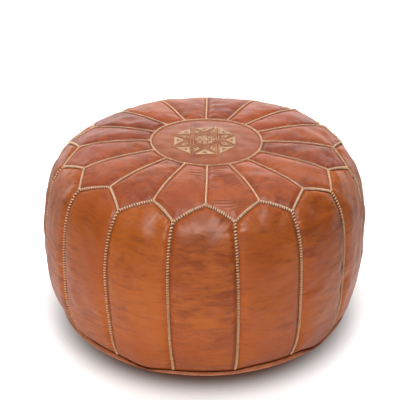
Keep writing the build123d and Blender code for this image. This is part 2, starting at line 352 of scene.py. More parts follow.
def grid_faces(rows, columns, closed=False, start=0):
    """Quads of a grid numbered row by row; closed joins the last column to the first."""
    across = columns if closed else columns - 1
    row, column = np.meshgrid(np.arange(rows - 1), np.arange(across), indexing="ij")
    here, after = row * columns + column, row * columns + (column + 1) % columns
    corners = (here, after, after + columns, here + columns)
    return np.stack([corner.ravel() for corner in corners], axis=-1) + start


def slab_faces(rows, columns):
    """Faces of a slab: an outer grid, an inner grid numbered after it, and walls between."""
    outer = grid_faces(rows, columns)
    size = rows * columns
    ends = (
        np.arange(columns),
        (rows - 1) * columns + np.arange(columns)[::-1],
        np.arange(rows)[::-1] * columns,
        np.arange(rows) * columns + columns - 1,
    )
    walls = []
    for line in ends:
        walls.append(np.stack([line[1:], line[:-1], line[:-1] + size, line[1:] + size], axis=-1))
    return [outer, outer[:, ::-1] + size] + walls


PLY_PITCH = 2.4 * MM  # length of thread in which its two plies turn round once


def tubes(paths, radius, sides=7, taper=0.85):
    """Vertices, faces and ply values of closed tubes along paths, an array (tube, point, xyz)."""
    count, points, _ = paths.shape
    every = np.ones((1, points, 1))
    along = unit(np.gradient(paths, axis=1))
    bend = paths[:, points // 2] - (paths[:, 0] + paths[:, -1]) / 2
    straight = np.linalg.norm(bend, axis=-1) < 1e-6
    # a straight tube takes any direction across it
    bend[straight] = np.cross(unit(paths[:, -1] - paths[:, 0])[straight], (0.31, 0.53, 0.79))
    side = unit(np.cross(along, bend[:, None, :] * every))
    lift = np.cross(side, along)
    turn = np.linspace(0, 2 * pi, sides, endpoint=False)
    thick = np.full(points, float(radius))
    thick[0] = thick[-1] = radius * taper
    ring = side[:, :, None] * np.cos(turn)[None, None, :, None]
    ring = ring + lift[:, :, None] * np.sin(turn)[None, None, :, None]
    vertices = paths[:, :, None, :] + ring * thick[None, :, None, None]
    steps = np.linalg.norm(np.diff(paths, axis=1, prepend=paths[:, :1]), axis=-1)
    ply = np.cumsum(steps, axis=1)[:, :, None] / PLY_PITCH + turn / pi
    starts = (np.arange(count) * points * sides)[:, None, None]
    walls = (grid_faces(points, sides, closed=True)[None] + starts).reshape(-1, 4)
    caps = np.stack([np.arange(sides)[::-1], (points - 1) * sides + np.arange(sides)])
    caps = (caps[None] + starts).reshape(-1, sides)
    return vertices.reshape(-1, 3), [walls, caps], ply.ravel()


# --- Materials --------------------------------------------------------------------------------


class Graph:
    """Builds a node graph with short calls, which feed a node's inputs by name or number."""

    def __init__(self, tree):
        self.tree = tree

    def feed(self, socket, value):
        """Links a socket to another, or gives it a plain value."""
        if isinstance(value, bpy.types.NodeSocket):
            self.tree.links.new(value, socket)
        else:
            socket.default_value = value

    def node(self, kind, inputs=(), **settings):
        """Adds a node with these settings and feeds its inputs."""
        made = self.tree.nodes.new(kind)
        for key, value in settings.items():
            setattr(made, key, value)
        for key, value in dict(inputs).items():
            self.feed(made.inputs[key], value)
        return made

    def math(self, operation, *values):
        return self.node("ShaderNodeMath", enumerate(values), operation=operation).outputs[0]

    def weigh(self, *pairs):
        """Sum of values times their weights."""
        total = 0.0
        for value, weight in pairs:
            total = self.math("MULTIPLY_ADD", value, weight, total)
        return total

    def span(self, value, low, high, to_low=0.0, to_high=1.0, kind="SMOOTHSTEP"):
        """Maps the range from low to high onto another."""
        inputs = enumerate((value, low, high, to_low, to_high))
        return self.node("ShaderNodeMapRange", inputs, interpolation_type=kind).outputs[0]

    def length(self, vector, origin=(0.0, 0.0, 0.0)):
        ends = enumerate((vector, origin))
        return self.node("ShaderNodeVectorMath", ends, operation="DISTANCE").outputs["Value"]


class Shader(Graph):
    """Builds a material's node graph."""

    def __init__(self, name):
        self.material = bpy.data.materials.new(name)
        self.material.use_nodes = True
        super().__init__(self.material.node_tree)
        self.bsdf = self.tree.nodes["Principled BSDF"]
        self.place = self.node("ShaderNodeTexCoord").outputs["Object"]

    def stretch(self, scale):
        """Place scaled by its own amount along each axis."""
        inputs = {"Vector": self.place, "Scale": scale}
        return self.node("ShaderNodeMapping", inputs).outputs["Vector"]

    def noise(self, scale, detail=4.0, roughness=0.55, source=None, distortion=0.0):
        inputs = {
            "Vector": source or self.place,
            "Scale": scale,
            "Detail": detail,
            "Roughness": roughness,
            "Distortion": distortion,
        }
        return self.node("ShaderNodeTexNoise", inputs).outputs["Fac"]

    def attribute(self, name):
        return self.node("ShaderNodeAttribute", attribute_name=name).outputs["Fac"]

    def mix(self, share, first, second):
        """Mixes two colours; the node has its number and vector sockets before the colour ones."""
        inputs = {0: share, 6: first, 7: second}
        return self.node("ShaderNodeMix", inputs, data_type="RGBA").outputs[2]

    def bump(self, height, strength, distance, below=None):
        """Bumpy normal, laid over the one below when that is given."""
        inputs = {"Strength": strength, "Distance": distance, "Height": height}
        if below is not None:
            inputs["Normal"] = below
        return self.node("ShaderNodeBump", inputs).outputs["Normal"]

    def finish(self, colour, roughness, normal, **extra):
        """Feeds the main shader and returns the material."""
        inputs = {"Base Color": colour, "Roughness": roughness, "Normal": normal, **extra}
        for name, value in inputs.items():
            self.feed(self.bsdf.inputs[name.replace("_", " ")], value)
        return self.material


def srgb(colour):
    """Colour given as 0..255 screen values, as the linear colour that shaders take."""
    shares = [value / 255 for value in colour]
    linear = [s / 12.92 if s <= 0.04045 else ((s + 0.055) / 1.055) ** 2.4 for s in shares]
    return (*linear, 1.0)


def leather_material(name, light, dark, red, streaks, shine, furrow):
    """Hand-dyed goat leather: blotches, streaks, fine grain, painted shade in the creases, and
    darker furrows at the seams from painted shade with some real staining.
    """
    make = Shader(name)
    light, dark, red = srgb(light), srgb(dark), srgb(red)
    tone = make.attribute("tone")
    # every panel is cut from another part of the hide
    shifts = enumerate([make.math("MULTIPLY", tone, far) for far in (7.0, 13.0, 5.0)])
    ends = enumerate((make.place, make.node("ShaderNodeCombineXYZ", shifts).outputs[0]))
    make.place = make.node("ShaderNodeVectorMath", ends, operation="ADD").outputs[0]
    # dye: blotches, streaks of two sizes, reddish clouds, and speckles
    blotch = make.noise(13.0, 5.0, 0.62, distortion=0.4)
    smear = make.noise(1.0, 5.0, 0.62, source=make.stretch(streaks), distortion=0.9)
    finer = make.stretch([2.6 * s for s in streaks])
    fine = make.noise(1.0, 5.0, 0.66, source=finer, distortion=0.8)
    depth = make.weigh((blotch, 0.55), (smear, 0.75), (fine, 0.55), (tone, 0.13))
    colour = make.mix(make.span(depth, 0.77, 1.20, 0.0, 0.9), light, dark)
    colour = make.mix(make.span(make.noise(9.0, 3.0), 0.42, 0.66, 0.0, 0.55), colour, red)
    speckle = make.noise(620.0, 3.0, 0.7)
    colour = make.mix(make.span(speckle, 0.45, 0.75, 0.0, 0.18), colour, dark)
    # painted shade in the creases; painted shade, with some real staining, in the furrows beside
    # the seams
    crease = make.attribute("crease")
    colour = make.mix(make.span(crease, 0.0, 1.0, 0.0, 0.75), colour, dark)
    near_seam = make.span(make.attribute("seam"), *SEAM_SHADE_AND_STAIN_REACH, 1.0, 0.0)
    colour = make.mix(make.math("MULTIPLY", near_seam, furrow), colour, srgb(SEAM_SHADE_AND_STAIN))
    # grain: lumps, wrinkles along the streaks, and pores
    finest = make.stretch([3 * s for s in streaks])
    wrinkles = make.noise(1.0, 6.0, 0.65, source=finest, distortion=1.2)
    pores = {"Vector": make.place, "Scale": 760.0}
    pores = make.node("ShaderNodeTexVoronoi", pores, feature="SMOOTH_F1").outputs["Distance"]
    normal = make.bump(make.noise(95.0, 5.0, 0.6), 0.35, 1.0 * MM)
    normal = make.bump(wrinkles, 0.24, 0.9 * MM, normal)
    normal = make.bump(pores, 0.22, 0.35 * MM, normal)
    rough = make.weigh((make.noise(48.0, 4.0, 0.6), 0.22), (near_seam, 0.15))
    rough = make.math("ADD", rough, shine - 0.08)
    gloss = {"Specular_IOR_Level": 0.5, "Coat_Weight": 0.12, "Coat_Roughness": 0.38}
    return make.finish(colour, rough, normal, **gloss)


def thread_material(name, light, dark):
    """Plied cotton thread, a little soiled, with painted shade in the grooves between its plies."""
    make = Shader(name)
    ply = make.math("SINE", make.math("MULTIPLY", make.attribute("ply"), 2 * pi))
    # the ply term is painted shade in the grooves between the plies; the noise is soil
    shade = make.math("MULTIPLY_ADD", ply, -0.16, make.noise(60.0, 4.0, 0.65))
    colour = make.mix(make.span(shade, 0.35, 0.85), srgb(light), srgb(dark))
    normal = make.bump(ply, 0.55, 0.35 * MM)
    normal = make.bump(make.noise(2600.0, 2.0, 0.6), 0.3, 0.12 * MM, normal)
    return make.finish(colour, 0.82, normal, Sheen_Weight=0.25, Sheen_Roughness=0.5)


def cloth_material(name, light, dark, pitch):
    """Plain woven cotton."""
    make = Shader(name)
    inputs = {"Vector": make.place, "Scale": 0.31 / pitch, "Distortion": 0.4}
    bands = [make.node("ShaderNodeTexWave", inputs, bands_direction=axis) for axis in "XYZ"]
    first, second, third = (band.outputs["Fac"] for band in bands)
    weave = make.math("MAXIMUM", make.math("MAXIMUM", first, second), third)
    # painted shade of the weave: its raised threads lighter than its hollows, in uneven patches
    shade = make.span(make.math("MULTIPLY", weave, make.noise(18.0, 4.0)), 0.1, 0.6)
    normal = make.bump(weave, 0.5, 0.3 * MM)
    return make.finish(make.mix(shade, srgb(dark), srgb(light)), 0.9, normal, Sheen_Weight=0.2)


def fill_material(name, light, dark):
    """Loose cotton batting."""
    make = Shader(name)
    fluff = make.noise(55.0, 8.0, 0.72, distortion=1.5)
    # painted shade: the batting is darker in the hollows of its fluff and lighter on its tufts
    colour = make.mix(make.span(fluff, 0.3, 0.7), srgb(dark), srgb(light))
    normal = make.bump(fluff, 0.8, 4 * MM)
    return make.finish(colour, 0.95, normal, Sheen_Weight=0.4)


def brass_material(name, light, dark, roughness):
    """Cast brass, brushed by use, with tarnish in patches."""
    make = Shader(name)
    tarnish = make.noise(140.0, 6.0, 0.7)
    scratch = make.noise(1.0, 4.0, 0.6, source=make.stretch((300, 2400, 900)))
    colour = make.mix(make.span(tarnish, 0.42, 0.68), srgb(light), srgb(dark))
    rough = make.math("MULTIPLY_ADD", tarnish, 0.35, roughness - 0.12)
    normal = make.bump(scratch, 0.2, 0.08 * MM)
    return make.finish(colour, rough, normal, Metallic=1.0)


# colour of the painted shade, with some real staining, in the furrows beside the seams
SEAM_SHADE_AND_STAIN = (74, 36, 16)
SEAM_SHADE_AND_STAIN_REACH = (0.9 * MM, 4.5 * MM)  # from a seam, where the painted shade and stain are full and where they end
SIDE_STREAKS = (22.0, 22.0, 95.0)
TOP_STREAKS = (34.0, 34.0, 60.0)
# light, dark and reddish dye, streaks, roughness, and strength of the painted shade and stain at
# the seams
LEATHERS = {
    "side_leather": ((188, 94, 18), (129, 51, 7), (168, 73, 13), SIDE_STREAKS, 0.46, 0.5),
    "petal_leather": ((180, 88, 36), (118, 45, 14), (162, 66, 25), TOP_STREAKS, 0.48, 0.08),
    "medallion_leather": ((172, 90, 48), (129, 58, 27), (161, 74, 38), TOP_STREAKS, 0.48, 0.08),
    "base_leather": ((208, 128, 86), (142, 74, 42), (186, 100, 64), TOP_STREAKS, 0.6, 0.3),
}
# light colours, and darker ones for soil and for the painted shade between the plies
THREADS = {
    "cream_thread": ((255, 226, 190), (255, 208, 166)),
    "cream_side_thread": ((255, 218, 170), (252, 200, 148)),
    "embroidery_thread": ((250, 220, 184), (234, 184, 142)),
    "band_thread": ((236, 184, 142), (198, 136, 98)),
    "waxed_thread": ((168, 124, 82), (110, 74, 44)),
}
# light and dark colours, and the weave's pitch
CLOTHS = {
    "zip_tape": ((104, 66, 42), (58, 36, 24), 0.9 * MM),
    "liner_cotton": ((228, 218, 198), (182, 170, 148), 1.2 * MM),
}
MATERIALS = {
    "stuffing_cotton": fill_material("stuffing_cotton", (243, 240, 232), (206, 198, 182)),
    "zip_brass": brass_material("zip_brass", (214, 176, 104), (140, 104, 54), 0.34),
}
for make_material, looks in (
    (leather_material, LEATHERS),
    (thread_material, THREADS),
    (cloth_material, CLOTHS),
):
    MATERIALS.update({name: make_material(name, *look) for name, look in looks.items()})


# --- Panels -----------------------------------------------------------------------------------


def graded(count, crowd):
    """Places from 0 to 1, closer together at both ends by crowd (0 is even)."""
    u = np.linspace(-1, 1, count)
    return ((1 + crowd) * u - crowd * u**3 + 1) / 2


def panel_field(kind, across, along):
    """Profile shares and angles, from the panel's middle line, at grid places across and along."""
    s, t = np.meshgrid(2 * across - 1, along)
    if kind == "side":
        angle = s * HALF
        share = zigzag_share(angle) * t
    elif kind == "petal":
        angle = s * HALF
        share = RING_SHARE + (zigzag_share(HALF - np.abs(angle)) - RING_SHARE) * t
    else:
        angle = (s + 1) * pi
        share = 1 + (RING_SHARE - 1) * t
    return share, angle


# columns and rows of a panel's grid, in the simulation and in the finished mesh
COARSE = {"side": (15, 27), "petal": (13, 15), "medallion": (65, 10)}
FINE = {"side": (57, 221), "petal": (49, 111), "medallion": (385, 64)}


def panels():
    """Name, kind and middle angle of every panel of the cover."""
    yield "medallion_disc", "medallion", FRONT
    for i in range(PANELS):
        middle = FRONT + i * PANEL_ANGLE
        yield f"side_panel_{i + 1:02d}", "side", middle
        yield f"top_petal_{i + 1:02d}", "petal", middle + HALF


def coarse_grid(kind, middle):
    """Points and outward normals of a panel's grid for the simulation."""
    columns, rows = COARSE[kind]
    share, angle = panel_field(kind, np.linspace(0, 1, columns), np.linspace(0, 1, rows))
    return surface(share, angle + middle, -SEAM_SINK)


def pinned_rim(kind):
    """Which points of the coarse grid are sewn: all the borders, but the medallion's middle."""
    columns, rows = COARSE[kind]
    pinned = np.zeros((rows, columns), bool)
    pinned[-1] = True
    if kind != "medallion":
        pinned[0] = pinned[:, 0] = pinned[:, -1] = True
    return pinned


CLOTH_FRAMES = 24
CLOTH_NOISE = 0.25 * MM  # unevenness of the sheet before it is blown up
CLOTH = {
    "quality": 6,
    "mass": 0.4,
    "air_damping": 2.0,
    "tension_stiffness": 15,
    "compression_stiffness": 15,
    "shear_stiffness": 5,
    "bending_stiffness": 3.0,
    "shrink_min": -0.004,
    "use_pressure": True,
    "uniform_pressure_force": 12.0,
    "vertex_group_mass": "pin",
}


def puff_sheet():
    """All panels' coarse grids in one object, with their sewn points in the group "pin"."""
    vertices, faces, pinned = [], [], []
    start = 0
    for index, (_, kind, middle) in enumerate(panels()):
        points, normals = coarse_grid(kind, middle)
        rim = pinned_rim(kind)
        closed = kind == "medallion"
        if closed:
            points, normals, rim = points[:, :-1], normals[:, :-1], rim[:, :-1]
        wave = Waves(SEED + 40 + index, 3, 0.03, 0.09)
        points = points + normals * (wave(points) * CLOTH_NOISE * ~rim)[..., None]
        vertices.append(points.reshape(-1, 3))
        quads = grid_faces(*rim.shape, closed, start)
        faces.append(quads if kind == "side" else quads[:, ::-1])
        pinned.append(rim.ravel())
        start += rim.size
    sheet = new_object("puff_sheet", np.vstack(vertices), faces, None, closed=False)
    group = sheet.vertex_groups.new(name="pin")
    group.add([int(i) for i in np.flatnonzero(np.concatenate(pinned))], 1.0, "REPLACE")
    return sheet


def blow_up(sheet):
    """Places of the sheet's points once the cloth simulation has blown it up."""
    cloth = sheet.modifiers.new("Cloth", "CLOTH")
    for key, value in CLOTH.items():
        setattr(cloth.settings, key, value)
    cloth.settings.effector_weights.gravity = 0
    cloth.point_cache.frame_end = CLOTH_FRAMES
    scene = bpy.context.scene
    for step in range(1, CLOTH_FRAMES + 1):
        scene.frame_set(step)
    shape = sheet.evaluated_get(bpy.context.evaluated_depsgraph_get()).data
    moved = np.empty(len(shape.vertices) * 3, np.float32)
    shape.vertices.foreach_get("co", moved)
    scene.frame_set(1)
    return moved.reshape(-1, 3).astype(float)


def simulate_puff():
    """Lift of every panel between its pinned seams, scaled to the height of the photo's puffs."""
    sheet = puff_sheet()
    moved = blow_up(sheet)
    bpy.data.objects.remove(sheet, do_unlink=True)
    puffs, start = {}, 0
    for name, kind, middle in panels():
        points, normals = coarse_grid(kind, middle)
        closed = kind == "medallion"
        columns, rows = COARSE[kind]
        block = moved[start : start + rows * (columns - closed)].reshape(rows, -1, 3)
        start += rows * (columns - closed)
        if closed:
            block = np.concatenate([block, block[:, :1]], axis=1)
            block[0] = block[0].mean(axis=0)
        puffs[name] = np.sum((block - points) * normals, axis=-1)
    for kind, height in PUFF.items():
        chosen = [name for name, its_kind, _ in panels() if its_kind == kind]
        reached = np.median([np.percentile(puffs[name], 92) for name in chosen])
        for name in chosen:
            puffs[name] = np.clip(puffs[name] * height / reached, -0.6 * height, 1.5 * height)
    return puffs


def line_length(points):
    """Distance along a line of points, from its start to each point."""
    return np.r_[0, np.cumsum(np.linalg.norm(np.diff(points, axis=0), axis=1))]


def zigzag_leg(steps=160):
    """Angles and profile shares of a zigzag leg, from its peak to its valley."""
    angle = np.linspace(0, HALF, steps)
    return angle, zigzag_share(angle)


def panel_borders(kind):
    """The panel's sewn borders about its middle line: points and distance along each seam."""
    lines = []
    leg_angle, leg_share = zigzag_leg()
    peak, valley = float(leg_share[0]), float(leg_share[-1])
    if kind == "side":
        for way in (-1, 1):
            lines.append((surface(np.linspace(0, valley, 500), way * HALF)[0], "side"))
            lines.append((surface(leg_share, way * leg_angle)[0], "zigzag"))
    elif kind == "petal":
        ring = np.linspace(-HALF, HALF, 80)
        lines.append((surface(RING_SHARE + 0 * ring, ring)[0], "ring"))
        shares = np.linspace(RING_SHARE, peak, 260)
        for way in (-1, 1):
            lines.append((surface(shares, way * HALF)[0], "petal"))
            lines.append((surface(leg_share, way * (HALF - leg_angle))[0], "zigzag"))
    else:
        ring = np.linspace(0, 2 * pi, 1600)
        lines.append((surface(RING_SHARE + 0 * ring, ring)[0], "ring"))
    return [(line, line_length(line), style) for line, style in lines]


def nearest_border(points, line, length):
    """Distance of each point from a border line, and how far along it the nearest place is."""
    flat = points.reshape(-1, 3)
    squares = (flat**2).sum(1)[:, None] + (line**2).sum(1)[None] - 2 * flat @ line.T
    nearest = squares.argmin(axis=1)
    distance = np.sqrt(np.maximum(squares[np.arange(len(flat)), nearest], 0))
    shape = points.shape[:-1]
    return distance.reshape(shape), length[nearest].reshape(shape)


def seam_relief(points, borders, seed, kind):
    """Lift of the leather near its seams, and the distance to the nearest seam."""
    closest = np.full(points.shape[:-1], 1.0)
    comb = np.zeros(points.shape[:-1])
    pulls = np.zeros(points.shape[:-1])
    for index, (line, length, style) in enumerate(borders):
        distance, along = nearest_border(points, line, length)
        wave = Waves(seed * 10 + index, 1, 7 * MM, 26 * MM, 10)
        pulls += wave(along[..., None]) * np.exp(-distance / PULL_REACH)
        phase = 0.5 + 0.5 * np.cos(2 * pi * along / STITCHES[style][0])
        nearer = distance < closest
        comb = np.where(nearer, phase, comb)
        closest = np.where(nearer, distance, closest)
    past = closest - VALLEY_AT
    furrow = np.exp(-((past / VALLEY_WIDTH) ** 2))
    # the furrow's far side is the gentler one
    beyond = 0.9 * np.exp(-np.maximum(past, 0) / (2.2 * VALLEY_WIDTH))
    shape = np.where(past < 0, furrow, np.maximum(furrow, beyond))
    pucker = comb * np.exp(-(((past - 0.6 * MM) / (1.5 * VALLEY_WIDTH)) ** 2))
    lift = -VALLEY_DEPTH[kind] * shape - PUCKER_DEPTH * pucker
    lift += PULL_DEPTH[kind] * pulls * smoothstep(1 * MM, 4 * MM, closest)
    return lift, closest


# how strongly some petals are wrinkled; the rest are as WRINKLED says
CREASED_PETALS = {
    "top_petal_01": 1.0,
    "top_petal_04": 0.5,
    "top_petal_12": 0.6,
    "top_petal_16": 0.45,
}
WRINKLED = 0.12
WRINKLE_DEPTH = 0.65 * MM
WRINKLE_PITCH = 6.2 * MM
BUMPS = 0.35 * MM  # fine unevenness of every panel
# tone of the hide, dark above 0; the other panels lie between -0.5 and 0.5
TONES = {
    "medallion_disc": 0.0,
    "top_petal_04": 1.2,
    "top_petal_08": 1.0,
    "top_petal_11": 1.4,
    "top_petal_12": 1.1,
}
# share of its angle that a panel fills, which leaves a gap to its neighbours
FILLED = {
    "side": 1 - EDGE_GAP / (WIDEST * HALF),
    "petal": 1 - EDGE_GAP / (RING_RADIUS * HALF),
    "medallion": 1.0,
}


def petal_wrinkles(node, points, closest, index):
    """Lift of the fine wrinkles across a petal, and how deep in a crease each point is."""
    radius = np.hypot(points[..., 0], points[..., 1])
    bend = Waves(SEED + 300 + index, 3, 0.03, 0.09)(points)
    ripple = np.sin(2 * pi * radius / WRINKLE_PITCH + 2.4 * bend)
    mask = smoothstep(-0.2, 0.9, Waves(SEED + 400 + index, 3, 0.04, 0.12)(points) + 0.5)
    mask = mask * CREASED_PETALS.get(node, WRINKLED) * smoothstep(3 * MM, 12 * MM, closest)
    return WRINKLE_DEPTH * ripple * mask, np.clip(-ripple, 0, 1) * mask


def disc_faces(rows, columns):
    """Faces of a round disc with two sheets, each with one point at its middle and then rings."""
    size = 1 + rows * columns
    quads = grid_faces(rows, columns, closed=True, start=1)
    spokes = np.arange(columns)
    fan = np.stack([0 * spokes, spokes + 1, (spokes + 1) % columns + 1], axis=-1)
    rim = 1 + (rows - 1) * columns + np.r_[spokes, 0]
    wall = np.stack([rim[:-1], rim[1:], rim[1:] + size, rim[:-1] + size], axis=-1)
    return [quads[:, ::-1], quads + size, fan, fan[:, ::-1] + size, wall[:, ::-1]]


def disc_field(field):
    """A round grid's values as a list, its middle once and without the column that closes it."""
    return np.concatenate([field[0, :1], field[1:, :-1].reshape(-1, *field.shape[2:])])


def build_panel(node, kind, middle, puff, index, borders):
    """One leather panel, with its puff, its relief at the seams and its creases."""
    columns, rows = FINE[kind]
    if kind == "medallion":
        across = np.linspace(0, 1, columns)
        along = np.r_[0.0, np.sqrt(np.linspace(0.0004, 1, rows - 1)) ** 1.25]
    else:
        across, along = graded(columns, 0.34), graded(rows, 0.3)
    share, angle = panel_field(kind, across, along)
    lift, closest = seam_relief(surface(share, angle)[0], borders, SEED + index, kind)
    if kind == "side":
        # the foot rolls in to the closed base seam
        from_foot = share * PROFILE_LENGTH
        lift = lift * smoothstep(0, 8 * MM, from_foot)
        lift = lift - FOOT_SINK * np.exp(-((from_foot / FOOT_REACH) ** 1.5))
        # the foot counts as a seam, so the puff fades there and a little of the painted seam shade
        # reaches the crease
        closest = np.minimum(closest, from_foot + 3.6 * MM)
    points, normals = surface(share, angle * FILLED[kind] + middle, -SEAM_SINK)
    coarse_columns, coarse_rows = COARSE[kind]
    swell = cubic_weights(along, coarse_rows) @ puff @ cubic_weights(across, coarse_columns).T
    swell = swell * smoothstep(0, SEAM_REACH, closest)
    bumps = Waves(SEED + 200 + index, 3, 0.022, 0.06)(points)
    swell = swell + bumps * BUMPS * smoothstep(2 * MM, 18 * MM, closest)
    crease = np.zeros_like(swell)
    if kind == "petal":
        wrinkles, crease = petal_wrinkles(node, points, closest, index)
        swell = swell + wrinkles
    outer = points + normals * (lift + swell)[..., None]
    sheets = [handmade(outer), handmade(outer - normals * LEATHER)]
    if kind == "medallion":
        faces = disc_faces(rows - 1, columns - 1)
        sheets = [disc_field(sheet) for sheet in sheets]
        closest, crease = disc_field(closest), disc_field(crease)
    else:
        faces = slab_faces(rows, columns)
    vertices = np.concatenate([sheet.reshape(-1, 3) for sheet in sheets])
    tone = TONES.get(node, np.random.default_rng(SEED + 500 + index).uniform(-0.5, 0.5))
    add_piece(
        f"{node}_skin",
        node,
        vertices,
        faces,
        f"{kind}_leather",
        seam=np.tile(closest.ravel(), 2),
        crease=np.tile(crease.ravel(), 2),
        tone=np.full(len(vertices), tone),
    )


def build_cover():
    """The medallion, the side panels and the top petals."""
    puffs = simulate_puff()
    borders = {kind: panel_borders(kind) for kind in FINE}
    for index, (node, kind, middle) in enumerate(panels()):
        build_panel(node, kind, middle, puffs[node], index, borders[kind])


# --- Whip stitches ----------------------------------------------------------------------------

JITTER = np.random.default_rng(SEED + 900)
STITCH_WRAP = radians(104)  # how far a stitch goes round on each side of its top
STITCH_POINTS = 9
# how much the stitches vary, as shares of their pitch, width, rise and slant
PITCH_CHANGE, WIDTH_CHANGE, RISE_CHANGE, SLANT_CHANGE = 0.05, 0.06, 0.04, 0.25
SEAM_START = 0.004  # profile share at which the side seams' stitches begin
JUNCTION = 0.5 * MM  # bare thread where seams meet


def whip_stitches(style, share, angle, end_gap=0.0):
    """Paths of thread wraps over a seam given by its profile shares and angles."""
    pitch, half_width, _ = STITCHES[style]
    line, normals = surface(share, angle, -SEAM_SINK)
    length = line_length(line)
    usable = length[-1] - 2 * end_gap
    count = max(1, int(round(usable / pitch)))
    places = end_gap + (np.arange(count) + 0.5) * usable / count
    places = places + JITTER.normal(0, PITCH_CHANGE, count) * pitch

    def at(values):
        """Values along the seam, read at each stitch's place."""
        return np.column_stack([np.interp(places, length, values[:, axis]) for axis in range(3)])

    def varied(size, change):
        """The size of each stitch, about as given."""
        return (size * (1 + JITTER.normal(0, change, count)))[:, None, None]

    forward = unit(at(unit(np.gradient(line, axis=0))))
    up = unit(at(normals))
    side = unit(np.cross(forward, up))
    turn = np.linspace(-STITCH_WRAP, STITCH_WRAP, STITCH_POINTS)[None, :, None]
    width = varied(half_width, WIDTH_CHANGE)
    rise = varied(STITCH_RISE, RISE_CHANGE)
    slant = varied(STITCH_SLANT, SLANT_CHANGE)
    paths = at(line)[:, None, :] + side[:, None, :] * np.sin(turn) * width
    paths = paths + up[:, None, :] * (np.cos(turn) * rise - STITCH_DROP)
    return paths + forward[:, None, :] * slant * np.sin(turn)


def build_seams():
    """Whip stitches over every seam of the cover, one piece for each kind of seam."""
    leg_angle, leg_share = zigzag_leg()
    ring = np.linspace(0, 2 * pi, 900)
    radial = np.linspace(RING_SHARE, leg_share[0], 200)
    upright = np.linspace(SEAM_START, leg_share[-1], 400)
    paths = {style: [] for style in STITCHES}
    paths["ring"].append(whip_stitches("ring", RING_SHARE + 0 * ring, ring))
    for i in range(PANELS):
        angle = FRONT + i * PANEL_ANGLE
        seams = (
            ("petal", radial, angle + 0 * radial),
            ("zigzag", leg_share, angle - leg_angle),
            ("zigzag", leg_share, angle + leg_angle),
            ("side", upright, angle + HALF + 0 * upright),
        )
        for style, shares, angles in seams:
            paths[style].append(whip_stitches(style, shares, angles, JUNCTION))
    for style, wraps in paths.items():
        seam = "medallion_seam" if style == "ring" else f"{style}_seam"
        finish = "cream_side_thread" if style == "side" else "cream_thread"
        vertices, faces, ply = tubes(handmade(np.concatenate(wraps)), STITCHES[style][2])
        node = f"{seam}_stitching"
        add_piece(f"{seam}_whipping", node, vertices, faces, finish, "cream_thread", ply=ply)


# --- Embroidery -------------------------------------------------------------------------------

APOTHEM = 0.921 * ROSETTE_RADIUS  # of the rosette's octagon
BAND_OFFSET = APOTHEM * tan(pi / 8)
BAND_LINE = 2.3 * MM  # from a band's middle to each of its two worked lines
LINE_HALF = 0.60 * MM
SPIKE = 3 * MM
SATIN_PITCH = 0.95 * MM
SATIN_RADIUS = 0.52 * MM
SATIN_RISE = 0.75 * MM  # of a stroke's middle over its ends
SATIN_DIP = 0.1 * MM  # of its ends below the leather's surface
BAND_GAP = 0.9 * MM  # between a band and the one it goes under
CELL_INSET = 3.9 * MM * 1.41  # of the triangles from the bands' middles, along their bases
CELL_BORDER = 4.2 * MM
KITE_INSET = (6.2 * MM, 12 * MM)  # from the bands' crossing and from the octagon's corner
KITE_WING = 4.2 * MM
KITE_BORDER = 2.8 * MM
DIAMOND_RADIUS = 12.2 * MM
DIAMOND_SIZE = (4.2 * MM, 4.4 * MM)
DIAMOND_BORDER = 2.2 * MM
HEART_RADIUS = 17.2 * MM
HEART_BORDER = 1.5 * MM
HEART_RAY = (2.0 * MM, 7.0 * MM, 1.6 * MM)  # start, end and half width


def satin_line(start, end, half_width, lean=0.25):
    """Short strokes side by side across the line from start to end, as pairs of plan points."""
    start, end = np.asarray(start, float), np.asarray(end, float)
    reach = np.linalg.norm(end - start)
    count = max(2, int(reach / SATIN_PITCH))
    along = (end - start) / reach
    across = np.array([-along[1], along[0]])
    middles = start + along * (np.linspace(0, 1, count) * reach)[:, None]
    half = (across + along * lean) * half_width
    return np.stack([middles - half, middles + half], axis=1)


def satin_border(corners, width):
    """Strokes from the edges of a polygon (counter-clockwise) inward, leaving an eye open."""
    corners = np.asarray(corners, float)
    centre = corners.mean(axis=0)
    strokes = []
    for start, end in zip(corners, np.roll(corners, -1, axis=0)):
        along = unit(end - start)
        inward = np.array([-along[1], along[0]])
        if inward @ (centre - start) < 0:
            inward = -inward
        reach = np.linalg.norm(end - start)
        count = max(3, int(reach / SATIN_PITCH))
        for share in (np.arange(count) + 0.5) / count:
            foot = start + along * share * reach
            room = min(share, 1 - share) * reach * 0.8
            strokes.append([foot, foot + inward * min(width, max(room, 0.5 * MM))])
    return np.array(strokes)


def polar(radius, angle):
    """Plan point at a radius and angle."""
    return np.array([radius * cos(angle), radius * sin(angle)])


def band_strokes(out, along):
    """Strokes of the two worked lines of one band, left out where it goes under another."""
    near, far = BAND_OFFSET * tan(pi / 8), BAND_OFFSET
    clear = BAND_LINE + LINE_HALF + BAND_GAP
    under = ((-near, clear / sin(pi / 4)), (far, clear), (-APOTHEM, clear / sin(pi / 4)))
    reach = along * (APOTHEM + SPIKE)
    for offset in (BAND_OFFSET - BAND_LINE, BAND_OFFSET + BAND_LINE):
        line = satin_line(out * offset - reach, out * offset + reach, LINE_HALF)
        place = line.mean(axis=1) @ along
        yield line[np.all([np.abs(place - middle) > half for middle, half in under], axis=0)]


